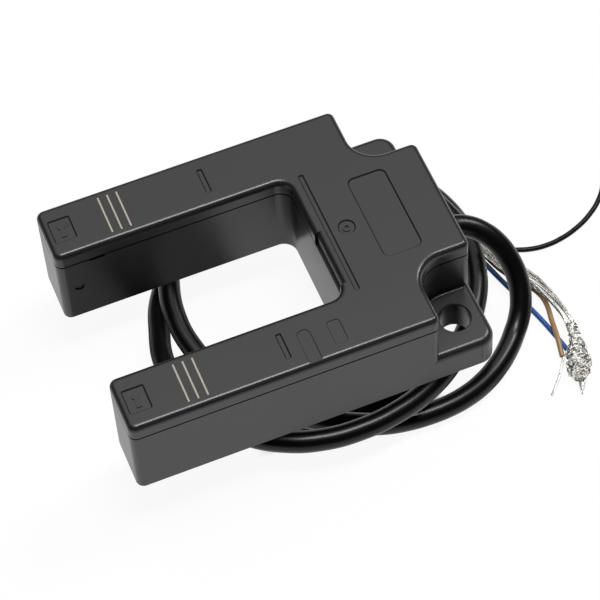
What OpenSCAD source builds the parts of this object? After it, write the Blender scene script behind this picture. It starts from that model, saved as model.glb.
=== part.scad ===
// Fork-type magnetic switch with a free shielded cable, in millimetres.
// X runs across the two arms, the arm tips point to -Y, +Z is up.
// The origin is midway between the two fixing holes, on the underside.

/* [Body] */
// Width over both arms
body_w = 74; // [70:1:84]
// Length from the arm tips to the back face
body_l = 101.5; // [98:0.5:116]
// Height of the housing
body_h = 28; // [27:0.5:34]
// Width of the slot between the arms
slot_w = 40; // [36:0.5:41]
// Distance from the end of the slot to the back face
bridge_l = 36; // [35:0.5:40]
// Width of the neck between the two ear pockets
neck_w = 36.6; // [35:0.2:38]
// Length of the neck behind the shoulders
neck_l = 16.5; // [16:0.5:18]
// Radius of the upright corners of the arm tips
corner_r = 2.2; // [1.8:0.1:4]
// Radius of the upright corners of the shoulders and the neck
neck_r = 1.8; // [1.7:0.1:2.4]
// Radius of the two inner corners of the slot
slot_r = 4; // [2:0.5:6]
// Radius of the scooped inner corner of an ear pocket
pocket_r = 8; // [5:0.5:9]
// Radius of the rounded upper edge of the cover
edge_r = 1.6; // [0.8:0.1:1.6]
// Thickness of the housing walls
wall = 2; // [1.8:0.1:2.2]
// Thickness of the floor of the base
floor_t = 2.2; // [1.8:0.1:3]
// Thickness of the top of the cover
top_t = 2; // [1.6:0.1:2.4]
// Height of the cover above the seam
cover_h = 4.8; // [4.6:0.1:5.5]
// Height of the open line between cover and base
seam_gap = 0.5; // [0.2:0.05:0.5]

/* [Ears] */
// Height of the two mounting ears
ear_h = 9.5; // [9:0.5:12]
// Radius of the outer corner of an ear
ear_r = 4.5; // [3:0.5:6]
// Radius of the rounded upper edge of an ear
ear_edge_r = 2; // [1:0.25:2.5]
// Radius of the fillet between an ear and the wall of its pocket
ear_fillet_r = 0.6; // [0.3:0.1:1]
// Width of the chamfer at the top of a fixing hole
hole_chamfer = 0.3; // [0.2:0.1:0.8]
// Diameter of a fixing hole
hole_d = 8.4; // [6.6:0.1:10]
// Distance between the centres of the fixing holes
hole_span = 53.4; // [52:0.2:56]
// Distance of the fixing holes from the back face
hole_back = 8; // [7:0.25:9]

/* [Face details] */
// Length of a gauge mark on an arm
mark_l = 12; // [8:0.5:12.5]
// Width of a gauge mark
mark_w = 0.45; // [0.4:0.05:1]
// Distance of the middle gauge mark from the arm tip
mark_tip = 19.6; // [18.6:0.2:21]
// Distance from one gauge mark to the next
mark_pitch = 2.6; // [2:0.1:3]
// Depth of the shallow figures in the cover
deboss = 0.35; // [0.2:0.05:0.5]
// Length of the bare label recess
label_l = 27.2; // [18:0.2:28]
// Width of the bare label recess
label_w = 11; // [8:0.5:12]
// Set-back of the cover along half of the slot's end wall
slot_step = 0.7; // [0.3:0.1:0.9]

/* [Screws] */
// Shank diameter of a housing screw
screw_d = 3; // [2.5:0.1:3.2]
// Head diameter of a housing screw
screw_head_d = 5.6; // [5:0.1:5.8]
// Shank length of a housing screw
screw_l = 14; // [12:0.5:14]
// Diameter of a screw boss
boss_d = 7.4; // [7.2:0.1:7.8]
// Shank diameter of the board and clamp screws
small_screw_d = 2.2; // [1.8:0.1:2.5]

/* [Cable] */
// Outer diameter of the cable
cable_d = 6; // [5.2:0.1:6]
// Outer diameter of an insulated core
core_d = 1.45; // [1.2:0.05:1.5]
// Height of the cable axis above the underside
cable_z = 10.5; // [10:0.25:11]

/* [Sensing parts] */
// Height of the sensing axis above the underside
sense_z = 14; // [13:0.5:15]
// Length of the glass capsule of the reed contact
reed_l = 10; // [8:0.5:11]
// Diameter of the glass capsule
reed_d = 2; // [1.8:0.1:2.2]
// Length and height of the bias magnet
magnet_l = 12; // [8:0.5:13]
// Thickness of the bias magnet
magnet_t = 3; // [2:0.25:3.25]

/* [Hidden] */
$fn = 48;

// Overlap that ties the straight and the turned edge pieces together
lap = 0.00000005;
// Depth of the two thumb-shaped fields
thumb_deep = deboss * 0.45;
y_back = hole_back;
y_tip = y_back - body_l;
y_slot = y_back - bridge_l;
y_shoulder = y_back - neck_l;
x_in = slot_w / 2;
x_out = body_w / 2;
x_arm = (x_in + x_out) / 2;
x_neck = neck_w / 2;
z_seam = body_h - cover_h;
z_base = z_seam - seam_gap / 2;
z_cover = z_seam + seam_gap / 2;
y_sense = y_tip + mark_tip;
// Tongue of the cover and its groove in the base
tongue_out = wall / 2 + 0.1;
groove_out = wall / 2;
tongue_l = 1.6;
seal_t = 1;
// Where the four housing screws sit, and the seat of their heads
boss_in = wall + boss_d / 2 + 0.3;
screw_xy = [[-x_arm, y_tip + boss_in], [x_arm, y_tip + boss_in],
    [-(x_out - boss_in), y_shoulder - boss_in], [x_out - boss_in, y_shoulder - boss_in]];
head_seat = 6;
head_t = 2.1;
boss_split = 13;
// Main board on its two posts
board_w = 42;
board_l = 12.5;
board_t = 1.6;
board_z = 7;
board_y = y_slot + 9;
board_screw_x = 18;
board_top = board_z + board_t;
// Upright sensor board in the near arm, in two ribs
sb_t = 1.4;
sb_gap = 5.6;
sb_tip = 10.8;
sb_l = 37.2;
sb_h = 16;
sb_z0 = 4.5;
sb_x = x_in + sb_gap;
sb_y0 = y_tip + sb_tip;
sb_y1 = sb_y0 + sb_l;
rib_in = 3;
rib_w = 2.4;
rib_side = 1.8;
rib_up = 4;
// Heads of the small screws
small_head_d = 4.2;
small_head_t = 1.5;
// Cable clamp
clamp_w = 18;
clamp_l = 5;
clamp_screw_x = 6.3;
clamp_gap = 0.4;
clamp_t = 5;
clamp_screw_l = 10.5;
// Terminal block and the ends of the leads
term_w = 14;
term_l = 6.5;
term_h = 8;
term_pitch = 3.5;
term_y = board_y + board_l / 2 - 0.5;
term_z = board_top + 3;
term_hole = 5;
lead_start_y = -6;
play = 0.1;
// Magnet, yoke and their holder in the far arm
holder_gap = 0.2;
holder_l = 19.2;
holder_h = 19;
holder_t = 9.4;
stop_t = 1.2;
stop_h = 2.5;
yoke_t = 1.5;
yoke_l = 16;
yoke_h = 14;
magnet_x = -x_in - wall - 2 * holder_gap;
// Leads from the sensor board to the main board
wire_d = 1;
wire_out = 1.8;
wire_step = 2.5;
// Parts on the main board
chip_l = 4.6;
chip_h = 2.4;
pin_l = 1.6;
diode_l = 5;
diode_d = 2.6;
cap_h = 7;
cap_d = 5;
res_l = 2.8;
res_w = 1.4;
res_h = 0.7;
ring_n = 10;

// Route of the cable, from its inner end round both turns to the stripped end
route = [[0, -6, cable_z], [0, 8.5, cable_z], [0.1, 11.5, 10.45], [1.1, 15, 9.6],
    [3.3, 18.4, 8], [6.8, 21.5, 5.2], [10.8, 23.3, 1.6], [15, 23.8, -1.8], [19.7, 22.7, -5.1],
    [23.3, 20.6, -7.6], [26.6, 17.7, -9], [30.4, 14.1, -9.2], [34.4, 9.2, -9.2], [37.7, 3.5, -9.2],
    [39.7, -2.2, -9.2], [40.6, -7.5, -9.2], [40.8, -13.2, -9.2], [40.2, -20.1, -9.2],
    [38.8, -26, -9.2], [36.6, -31.4, -9.1], [33.8, -36.8, -8.9], [30.1, -42.7, -8.6],
    [25.4, -48.6, -8.1], [18.6, -55, -7.4], [9.5, -60.6, -6.6], [-1, -64.5, -5.5],
    [-12, -65.5, -4.2], [-22, -63.5, -3.1],
    [-31.5, -59, -3.1], [-39, -51, -3.1], [-43, -40, -3.1], [-44.5, -28, -3.1],
    [-44, -16, -3.1], [-41.5, -5, -3.1], [-36, 4, -3.1], [-27.5, 10, -3.1],
    [-16, 14.5, -3.1], [-3.5, 16.8, -3.1], [8, 14.7, -3.1], [18, 9.7, -3.1],
    [26, 2.8, -3.1], [32.5, -4, -3.1], [37.5, -13, -3.1], [40.5, -23, -3.1],
    [41.5, -33, -3.1], [40.5, -43.5, -3.1], [37, -53, -3.3], [31, -61, -4],
    [22, -67.5, -5], [11, -72, -6], [-1, -73, -7], [-12, -70.5, -8.6],
    [-22, -66.5, -9.2], [-31, -59, -9.2], [-37, -49, -9.2], [-40, -37, -9.2],
    [-41, -24, -9.2], [-40.5, -11, -9.2], [-38, 0, -9.2], [-33.3, 9, -9.2],
    [-26, 14.9, -9.2], [-19, 17.6, -9.2], [-12.5, 18.9, -9.2], [-6, 20.4, -9.2]];
// Routes of the shield and the three cores beyond the stripped end
route_shield = [[-6, 20.4, -8], [-4.78, 20.68, -8], [-0.3, 21.9, -8], [3, 23.2, -8],
    [7, 25.2, -8], [12, 28.4, -7.8], [19, 31, -7.8], [26, 32.5, -8], [31, 32.7, -8.5],
    [35.5, 32, -8.9], [39, 30.7, -9.1], [42, 29.6, -9.2], [45, 28.7, -9.7],
    [47, 28.4, -10.6], [50, 27.2, -11.5]];
route_brown = [[-6, 20.4, -10.8], [-4.78, 20.68, -10.8], [-0.6, 21.7, -10.9], [4, 23.1, -10.9],
    [8.5, 25.2, -10.7], [13, 28, -10.4], [17.5, 29.8, -10.2], [21, 30, -10.1], [26, 29.1, -9.9],
    [32, 28.1, -9.8], [37.5, 27, -10.7]];
route_blue = [[-5.57, 18.55, -9.6], [-4.35, 18.83, -9.6], [-0.6, 19.9, -10.9], [4, 21.3, -11.4],
    [9.8, 22.9, -11.4], [17, 25.1, -11.4], [24, 27, -11.4], [30, 28.3, -11.4], [36, 29.4, -11.4]];
route_black = [[-6.43, 22.25, -9.4], [-5.21, 22.53, -9.4], [-2.9, 24.2, -10.2], [-0.9, 27.2, -11],
    [0.5, 30.8, -11.4], [1.7, 34.4, -11.4], [2.2, 38.9, -11.4], [1.8, 43, -11.4],
    [0.5, 47.8, -11.4], [-2.3, 53.6, -11.4], [-7, 59.3, -11.4], [-13, 63.5, -11.4]];
strands_brown = [[37.5, 27, -10.7], [38.6, 26.7, -10.86], [41.5, 24.6, -11.3],
    [44, 22.5, -11.6], [47, 19.6, -11.7]];
strands_blue = [[36, 29.4, -11.4], [37, 29.6, -11.4], [40, 29.9, -11.6],
    [43, 29.2, -11.7], [45.5, 27.4, -11.7]];
strands_black = [[-13, 63.5, -11.4], [-14.2, 64.3, -11.4], [-16.5, 65.4, -11.6],
    [-19, 66.2, -11.7]];

function unit(v) = v / norm(v);
function tangent(p, i) =
    unit(p[min(i + 1, len(p) - 1)] - p[max(i - 1, 0)]);
function ring(c, t, ru, rv, n, up) =
    let (s = unit(cross(up, t)), w = cross(t, s))
    [for (k = [0 : n - 1]) c + s * ru * cos(360 * k / n) + w * rv * sin(360 * k / n)];

// Tube swept along a list of points, with its half width and half height at each
module swept(p, ru, rv, n, up = [0, 0, 1]) {
    pts = [for (i = [0 : len(p) - 1]) each ring(p[i], tangent(p, i), ru[i], rv[i], n, up)];
    last = (len(p) - 1) * n;
    polyhedron(points = pts, faces = concat(
        [[for (k = [0 : n - 1]) k]],
        [for (i = [0 : len(p) - 2], k = [0 : n - 1])
            [i * n + k, (i + 1) * n + k, (i + 1) * n + (k + 1) % n]],
        [for (i = [0 : len(p) - 2], k = [0 : n - 1])
            [i * n + k, (i + 1) * n + (k + 1) % n, i * n + (k + 1) % n]],
        [[for (k = [n - 1 : -1 : 0]) last + k]]));
}

module tube(p, r, n, up = [0, 0, 1]) {
    swept(p, [for (q = p) r], [for (q = p) r], n, up);
}

// Round rod from one point to another
module rod(p, q, r) {
    v = q - p;
    translate(p)
        rotate([0, acos(v[2] / norm(v)), atan2(v[1], v[0])])
            cylinder(h = norm(v), r = r);
}

// Bent wire through a list of points, with rounded elbows
module wire(p, r) {
    for (i = [0 : len(p) - 2]) rod(p[i], p[i + 1], r);
    for (i = [1 : len(p) - 2]) translate(p[i]) sphere(r = r);
}

module rounded(x0, x1, y0, y1, r) {
    translate([x0 + r, y0]) square([x1 - x0 - 2 * r, y1 - y0]);
    translate([x0, y0 + r]) square([x1 - x0, y1 - y0 - 2 * r]);
    for (x = [x0 + r, x1 - r], y = [y0 + r, y1 - r])
        translate([x, y]) circle(r = r);
}

// Rectangle with rounded corners, or with sharp ones where the radius runs out
module block(x0, x1, y0, y1, r) {
    if (r > 0.05) rounded(x0, x1, y0, y1, r);
    else translate([x0, y0]) square([x1 - x0, y1 - y0]);
}

// Outline of the housing seen from above, moved inwards by d
module outline(d) {
    r = corner_r - d;
    n = neck_r - d;
    for (s = [0, 1]) mirror([s, 0, 0]) {
        block(x_in + d, x_out - d, y_tip + d, y_sense + 20, r);
        block(x_in + d, x_out - d, y_sense + 10, y_shoulder - d, n);
        // fillet in the end of the slot
        difference() {
            translate([x_in - slot_r, y_slot - slot_r])
                square([slot_r + d + 1, slot_r + d + 1]);
            translate([x_in - slot_r, y_slot - slot_r]) circle(r = slot_r + d);
        }
        // scooped corner of the ear pocket
        difference() {
            translate([x_neck - d - 1, y_shoulder - d - 1])
                square([pocket_r + d + 1, pocket_r + d + 1]);
            translate([x_neck + pocket_r, y_shoulder + pocket_r]) circle(r = pocket_r + d);
        }
    }
    translate([-x_in - d - 1, y_slot + d])
        square([2 * (x_in + d + 1), y_shoulder - y_slot - 2 * d]);
    block(-x_neck + d, x_neck - d, y_shoulder - 9, y_back - d, n);
}

// Section of a rounded upper edge: u points outwards from the wall's face
module edge_section(r, o = 0.5) {
    intersection() {
        translate([-r, 0]) circle(r = r);
        translate([-r, 0]) square([r, r]);
    }
    translate([-r - o, 0]) square([o, r]);
}

// Straight rounded edge that starts at x, y and faces the angle a
module edge_run(x, y, a, l, r, z) {
    translate([x, y, z - r]) rotate([0, 0, a]) rotate([90, 0, 0])
        linear_extrude(height = l + lap) edge_section(r);
}

// Rounded edge round an outer corner
module edge_out(x, y, a, rc, r, z) {
    translate([x, y, z - r]) rotate([0, 0, a])
        rotate_extrude(angle = 90) translate([rc, 0]) edge_section(r, min(0.5, rc - r - 0.02));
}

// Rounded edge round an inner corner
module edge_in(x, y, a, rc, r, z) {
    translate([x, y, z - r]) rotate([0, 0, a])
        rotate_extrude(angle = 90) translate([rc, 0]) mirror([1, 0]) edge_section(r);
}

module cover_edges() {
    z = body_h;
    r = edge_r;
    c = corner_r;
    n = neck_r;
    for (s = [0, 1]) mirror([s, 0, 0]) {
        edge_run(x_in - slot_r, y_slot, 270, x_in - slot_r, r, z);
        edge_in(x_in - slot_r, y_slot - slot_r, 0, slot_r, r, z);
        edge_run(x_in, y_tip + c, 180, y_slot - slot_r - y_tip - c, r, z);
        edge_out(x_in + c, y_tip + c, 180, c, r, z);
        edge_run(x_out - c, y_tip, 270, x_out - x_in - 2 * c, r, z);
        edge_out(x_out - c, y_tip + c, 270, c, r, z);
        edge_run(x_out, y_shoulder - n, 0, y_shoulder - y_tip - n - c, r, z);
        edge_out(x_out - n, y_shoulder - n, 0, n, r, z);
        edge_run(x_neck + pocket_r, y_shoulder, 90, x_out - n - x_neck - pocket_r, r, z);
        edge_in(x_neck + pocket_r, y_shoulder + pocket_r, 180, pocket_r, r, z);
        edge_run(x_neck, y_back - n, 0, neck_l - n - pocket_r, r, z);
        edge_out(x_neck - n, y_back - n, 0, n, r, z);
        edge_run(0, y_back, 90, x_neck - n, r, z);
    }
}

// Ring that follows the outline between two distances from the outer face
module wall_ring(d0, d1, h) {
    linear_extrude(height = h) difference() {
        outline(d0);
        outline(d1);
    }
}

module glyph_lamp() {
    circle(r = 1.1);
    polygon([[-0.4, 0], [0.4, 0], [0.75, -3.6], [-0.75, -3.6]]);
}

module top_cover() {
    color([0.12, 0.12, 0.125]) difference() {
        union() {
            difference() {
                union() {
                    translate([0, 0, z_cover])
                        linear_extrude(height = body_h - edge_r - z_cover) outline(0);
                    translate([0, 0, body_h - edge_r])
                        linear_extrude(height = edge_r) outline(edge_r);
                    cover_edges();
                }
                translate([0, 0, z_cover - 1])
                    linear_extrude(height = body_h - top_t - z_cover + 1) outline(wall);
            }
            translate([0, 0, z_seam - tongue_l])
                wall_ring(tongue_out, wall, tongue_l + seam_gap + 0.5);
            for (p = screw_xy)
                translate([p[0], p[1], boss_split])
                    cylinder(h = body_h - top_t - boss_split + 0.5, d = boss_d);
        }
        for (p = screw_xy)
            translate([p[0], p[1], boss_split - 1])
                cylinder(h = head_seat + screw_l - boss_split + 1.8, d = screw_d);
        cover_figures();
    }
}

// Section of a sunk field with sloping sides, from a to b
module ramp(a, b, d) {
    polygon([[a + d, 0], [b - d, 0], [b, d], [b, d + 1], [a, d + 1], [a, d]]);
}

// Sunk field with sloping sides and rounded corners
module field(x0, x1, y0, y1, r, d = deboss) {
    translate([x0 + r, 0, 0]) rotate([90, 0, 90])
        linear_extrude(height = x1 - x0 - 2 * r) ramp(y0, y1, d);
    translate([0, y1 - r, 0]) rotate([90, 0, 0])
        linear_extrude(height = y1 - y0 - 2 * r) ramp(x0, x1, d);
    for (x = [x0 + r, x1 - r], y = [y0 + r, y1 - r]) translate([x, y, 0]) {
        cylinder(h = d, r1 = r - d, r2 = r);
        translate([0, 0, d]) cylinder(h = 1, r = r);
    }
}

// Everything that is sunk into the face of the cover
module cover_figures() {
    z = body_h - deboss;
    // grooves of the gauge marks
    for (s = [-1, 1], k = [-1, 0, 1])
        translate([s * x_arm - mark_l / 2, y_sense + k * mark_pitch - mark_w / 2, z])
            cube([mark_l, mark_w, 1]);
    // square fields with a small lamp figure near the tips
    for (s = [-1, 1])
        translate([s * (x_arm + 0.1), y_tip + 5, z]) difference() {
            field(-3.8, 3.8, -3.1, 3.1, 0.55);
            translate([0, 0, -0.5]) rotate([0, 0, 90]) translate([0, 1.3, 0])
                linear_extrude(height = deboss + 0.4) {
                    glyph_lamp();
                    if (s < 0) translate([1.6, 0]) polygon([[0, 0.9], [0.7, 0], [0, -0.9]]);
                }
        }
    // narrow fields across both arms
    for (s = [-1, 1])
        translate([s * x_arm, y_tip + 44.95, z]) field(-4.1, 4.1, -0.85, 0.85, 0.55);
    // two thumb-shaped fields on the near arm, the first open to the side
    translate([0, y_tip + 51, body_h - thumb_deep])
        field(x_in + 5.7, x_out + 2, -1.85, 1.85, 1.7, thumb_deep);
    translate([0, y_tip + 59.3, body_h - thumb_deep])
        field(x_in + 6, x_in + 13.4, -1.85, 1.85, 1, thumb_deep);
    // long groove along the bridge
    translate([0, y_slot + 3.55, z]) field(-20, 20, -0.8, 0.8, 0.55);
    // round gate mark with its centre point
    translate([0.5, y_slot + 8.5, z]) difference() {
        union() {
            cylinder(h = deboss, r1 = 2.4 - deboss, r2 = 2.4);
            translate([0, 0, deboss]) cylinder(h = 1, r = 2.4);
        }
        translate([0, 0, -1]) cylinder(h = 1 + deboss - 0.1, r = 1.3);
    }
    translate([0.5, y_slot + 8.5, z - 0.15]) cylinder(h = 1, r = 0.55);
    // bare label field
    translate([0, y_back - 16.6, z])
        field(-label_l / 2, label_l / 2, -label_w / 2, label_w / 2, 2);
    // set-back of the cover in half of the slot's end wall, with the same rounded edge
    translate([-1, 0, 0]) rotate([90, 0, 90])
        linear_extrude(height = x_in - slot_r + 1.6) difference() {
            y = y_slot + slot_step;
            translate([y_slot - 1, z_cover - 1])
                square([1 + slot_step + edge_r, body_h - z_cover + 2]);
            translate([y, z_cover - 2]) square([edge_r + 1, body_h - edge_r - z_cover + 2]);
            translate([y + edge_r, body_h - edge_r]) circle(r = edge_r);
        }
}

// One ear with its rounded edge and the fillet along the pocket's wall
module ear_solid(s) {
    mirror([s, 0, 0]) {
        z = ear_h;
        r = ear_edge_r;
        linear_extrude(height = ear_h - r) ear_outline(0);
        translate([0, 0, ear_h - r]) linear_extrude(height = r) ear_outline(r);
        edge_run(x_out, y_back - ear_r, 0, y_back - ear_r - y_shoulder + neck_r, r, z);
        edge_out(x_out - ear_r, y_back - ear_r, 0, ear_r, r, z);
        edge_run(x_neck - 1, y_back, 90, x_out - ear_r - x_neck + 1, r, z);
        // fillet along the wall of the pocket
        foot_run(x_neck, y_back - r - 0.2, 0, neck_l - r - 0.2 - pocket_r, z);
        foot_run(x_neck + pocket_r, y_shoulder, 90, x_out - r - 0.2 - x_neck - pocket_r, z);
        translate([x_neck + pocket_r, y_shoulder + pocket_r, z]) rotate([0, 0, 180])
            rotate_extrude(angle = 90) translate([pocket_r, 0]) mirror([1, 0]) foot_section();
    }
}

// Section of the fillet where a wall meets an ear: u points away from the wall
module foot_section() {
    f = ear_fillet_r;
    difference() {
        translate([-0.4, -0.4]) square([f + 0.4, f + 0.4]);
        translate([f, f]) circle(r = f);
    }
}

// Straight fillet that starts at x, y beside a wall that faces the angle a
module foot_run(x, y, a, l, z) {
    translate([x, y, z]) rotate([0, 0, a]) rotate([90, 0, 0])
        linear_extrude(height = l + lap) foot_section();
}

module ear_outline(d) {
    y0 = y_shoulder - neck_r;
    translate([x_neck - 1, y0]) square([x_out - ear_r - x_neck + 1, y_back - d - y0]);
    translate([x_neck - 1, y0]) square([x_out - d - x_neck + 1, y_back - ear_r - y0]);
    translate([x_out - ear_r, y_back - ear_r]) circle(r = ear_r - d);
}

module base_shell() {
    color([0.115, 0.115, 0.12]) difference() {
        union() {
            difference() {
                linear_extrude(height = z_base) outline(0);
                translate([0, 0, floor_t]) linear_extrude(height = body_h) outline(wall);
                translate([0, 0, z_seam - tongue_l - seal_t])
                    linear_extrude(height = body_h) outline(groove_out);
            }
            for (s = [0, 1]) ear_solid(s);
            for (p = screw_xy)
                translate([p[0], p[1], 0]) cylinder(h = boss_split, d = boss_d);
            base_fittings();
        }
        for (p = screw_xy) {
            translate([p[0], p[1], -1]) cylinder(h = head_seat + 1, d = screw_head_d + 0.5);
            translate([p[0], p[1], 1]) cylinder(h = boss_split, d = screw_d + 0.3);
        }
        for (s = [-1, 1]) {
            translate([s * hole_span / 2, 0, -1]) cylinder(h = ear_h + 2, d = hole_d);
            translate([s * hole_span / 2, 0, ear_h - hole_chamfer])
                cylinder(h = hole_chamfer + 0.5, d1 = hole_d, d2 = hole_d + 2 * hole_chamfer + 1);
            translate([s * board_screw_x, board_y, floor_t + 0.8])
                cylinder(h = board_z, d = small_screw_d);
            translate([s * clamp_screw_x, 0, floor_t + 1.5])
                cylinder(h = cable_z, d = small_screw_d);
        }
        // opening of the cable grommet
        translate([0, y_back - wall - 0.5, cable_z]) rotate([-90, 0, 0])
            cylinder(h = wall + 1, d = grommet_d);
        // lower half of the cable seat under the clamp
        translate([0, -clamp_l / 2 - 1, cable_z]) rotate([-90, 0, 0])
            cylinder(h = clamp_l + 2, d = cable_d);
        base_details();
    }
}

grommet_d = cable_d + 4;

// Posts, ribs and seats that stand on the floor of the base
module base_fittings() {
    for (s = [-1, 1])
        translate([s * board_screw_x, board_y, 0]) cylinder(h = board_z, d = 5);
    // ribs that hold the upright sensor board
    for (y = [sb_y0 + rib_in, sb_y1 - rib_in])
        difference() {
            translate([sb_x - rib_side, y - rib_w / 2, 0])
                cube([sb_t + 2 * rib_side, rib_w, sb_z0 + rib_up]);
            translate([sb_x - play / 2, y - rib_w, sb_z0]) cube([sb_t + play, 2 * rib_w, sb_h]);
        }
    // seat of the cable clamp
    translate([-clamp_w / 2, -clamp_l / 2, 0]) cube([clamp_w, clamp_l, cable_z - clamp_gap / 2]);
    // frame that locates the magnet holder
    for (s = [-1, 1])
        translate([-x_out + wall / 2, y_sense + s * (holder_l / 2 + play + stop_t / 2) - stop_t / 2, 0])
            cube([x_out - x_in - wall, stop_t, floor_t + stop_h]);
}

module base_details() {
    // shallow round mark on the inner face of the far arm
    translate([-x_in - 0.4, y_tip + 5.3, 12.8]) rotate([0, 90, 0]) cylinder(h = 1, d = 3);
    // pry slot at the seam on the inner face of the far arm
    translate([-x_in - 0.7, y_tip + 8.8, z_base - 0.5]) cube([1.2, 4.6, 1]);
    // fine mould line on the side of the near ear
    translate([x_out - 0.12, y_back - ear_r - 0.1, 2.6]) cube([0.3, 0.2, 5.8]);
}

module cover_seal() {
    color([0.35, 0.35, 0.36])
        translate([0, 0, z_seam - tongue_l - seal_t]) wall_ring(tongue_out, wall - 0.1, seal_t);
}

module gauge_marks() {
    color([0.78, 0.75, 0.68])
        for (s = [-1, 1], k = [-1, 0, 1])
            translate([s * x_arm - mark_l / 2, y_sense + k * mark_pitch - mark_w / 2,
                body_h - deboss]) cube([mark_l, mark_w, deboss + 0.02]);
}

// Pan-head screw with a cross recess, head at the origin, shank along +Z
module pan_screw(d, l, hd, ht) {
    difference() {
        union() {
            translate([0, 0, -ht]) cylinder(h = ht, d = hd);
            cylinder(h = l - d / 2, d = d);
            translate([0, 0, l - d / 2]) cylinder(h = d / 2, r1 = d / 2, r2 = d / 8);
        }
        for (a = [0, 90]) rotate([0, 0, a])
            translate([-hd * 0.3, -hd * 0.07, -ht - 1]) cube([hd * 0.6, hd * 0.14, 1 + ht * 0.55]);
    }
}

module housing_screws() {
    color([0.72, 0.73, 0.75])
        for (p = screw_xy) translate([p[0], p[1], head_seat])
            pan_screw(screw_d, screw_l, screw_head_d, head_t);
}

module board_screws() {
    color([0.72, 0.73, 0.75])
        for (s = [-1, 1]) translate([s * board_screw_x, board_y, board_top])
            rotate([180, 0, 0])
                pan_screw(small_screw_d, board_top - floor_t - 1, small_head_d, small_head_t);
}

module clamp_screws() {
    color([0.72, 0.73, 0.75])
        for (s = [-1, 1])
            translate([s * clamp_screw_x, 0, cable_z + clamp_gap / 2 + clamp_t])
                rotate([180, 0, 0])
                    pan_screw(small_screw_d, clamp_screw_l, small_head_d, small_head_t);
}

module cable_grommet() {
    color([0.06, 0.06, 0.06])
        translate([0, 0, cable_z]) rotate([-90, 0, 0]) difference() {
            union() {
                translate([0, 0, y_back - wall - 1.5]) cylinder(h = 1.5, d = grommet_d + 3);
                translate([0, 0, y_back - wall]) cylinder(h = wall, d = grommet_d);
                translate([0, 0, y_back]) cylinder(h = 1.4, d = grommet_d - 1);
            }
            cylinder(h = y_back + 3, d = cable_d);
        }
}

module cable_clamp() {
    color([0.3, 0.3, 0.31]) difference() {
        translate([-clamp_w / 2, -clamp_l / 2, cable_z + clamp_gap / 2])
            cube([clamp_w, clamp_l, clamp_t]);
        translate([0, -clamp_l / 2 - 1, cable_z]) rotate([-90, 0, 0])
            cylinder(h = clamp_l + 2, d = cable_d);
        for (s = [-1, 1]) translate([s * clamp_screw_x, 0, cable_z - 1])
            cylinder(h = clamp_t + 3, d = small_screw_d + 0.2);
    }
}

module main_board() {
    color([0.08, 0.35, 0.16]) difference() {
        translate([-board_w / 2, board_y - board_l / 2, board_z])
            cube([board_w, board_l, board_t]);
        for (s = [-1, 1]) translate([s * board_screw_x, board_y, board_z - 1])
            cylinder(h = board_t + 2, d = small_screw_d + 0.2);
    }
}

module terminal_block() {
    color([0.12, 0.42, 0.22]) difference() {
        translate([-term_w / 2, term_y - term_l, board_top]) cube([term_w, term_l, term_h]);
        for (k = [-1.5, -0.5, 0.5, 1.5]) {
            translate([k * term_pitch, term_y + 1, term_z]) rotate([90, 0, 0])
                cylinder(h = term_hole + 1, d = core_d + 0.4);
            translate([k * term_pitch, term_y - 3, board_top + term_h - 1.4])
                cylinder(h = 2, d = 2.4);
        }
    }
}

module output_transistor() {
    color([0.1, 0.1, 0.1]) translate([11, board_y - chip_l + 0.6, board_top]) {
        translate([0, 0, 0.2]) cube([chip_l, chip_l, chip_h]);
        for (k = [0, 1, 2]) translate([0.4 + k * pin_l, chip_l, 0]) cube([0.6, pin_l, 1]);
        translate([chip_l / 2 - 0.5, -1, 0]) cube([1, 1, 1]);
    }
}

module suppressor_diode() {
    z = board_top + diode_d / 2 + 0.1;
    color([0.15, 0.15, 0.16]) translate([-12.1, board_y + 3, 0]) {
        translate([-diode_l / 2, 0, z]) rotate([0, 90, 0]) cylinder(h = diode_l, d = diode_d);
        for (s = [-1, 1])
            wire([[s * (diode_l / 2 - 0.1), 0, z], [s * (diode_l / 2 + 0.9), 0, z],
                [s * (diode_l / 2 + 0.9), 0, board_top]], 0.35);
    }
}

module smoothing_capacitor() {
    color([0.2, 0.25, 0.35]) translate([-11.5, board_y - cap_d / 2 - 0.3, board_top]) {
        cylinder(h = cap_h, d = cap_d);
        translate([0, 0, cap_h - 0.1]) cylinder(h = 0.3, d = cap_d - 0.6);
    }
}

module resistors() {
    color([0.7, 0.6, 0.45])
        for (k = [0, 1])
            translate([board_w / 2 - 2.4 - k * (res_w + 0.8), board_y - 2 * res_l, board_top])
                cube([res_w, res_l, res_h]);
}

module sensor_board() {
    color([0.08, 0.35, 0.16])
        translate([sb_x, sb_y0, sb_z0]) cube([sb_t, sb_y1 - sb_y0, sb_h]);
}

reed_x = sb_x - reed_d / 2 - 0.35;
reed_lead_r = 0.3;
cap_l = 1.2;

module reed_glass() {
    color([0.75, 0.85, 0.8, 0.5])
        translate([reed_x, y_sense - reed_l / 2, sense_z]) rotate([-90, 0, 0]) difference() {
            cylinder(h = reed_l, d = reed_d);
            translate([0, 0, cap_l]) cylinder(h = reed_l - 2 * cap_l, d = reed_d - 0.5);
            translate([0, 0, -1]) cylinder(h = reed_l + 2, r = reed_lead_r);
        }
}

// Flat contact blade and its round lead, which bends to the board
module reed_blade(s, dz) {
    y0 = y_sense + s * (reed_l / 2 - cap_l);
    y1 = y_sense + s * (reed_l / 2 + 2);
    b0 = y_sense - s * 0.8;
    translate([reed_x - 0.4, min(y0, b0), sense_z + dz - 0.08])
        cube([0.8, abs(y0 - b0), 0.16]);
    wire([[reed_x, y0, sense_z], [reed_x, y1, sense_z], [sb_x, y1, sense_z]], reed_lead_r);
}

module reed_blade_front() {
    color([0.8, 0.8, 0.82]) reed_blade(-1, 0.13);
}

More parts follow.
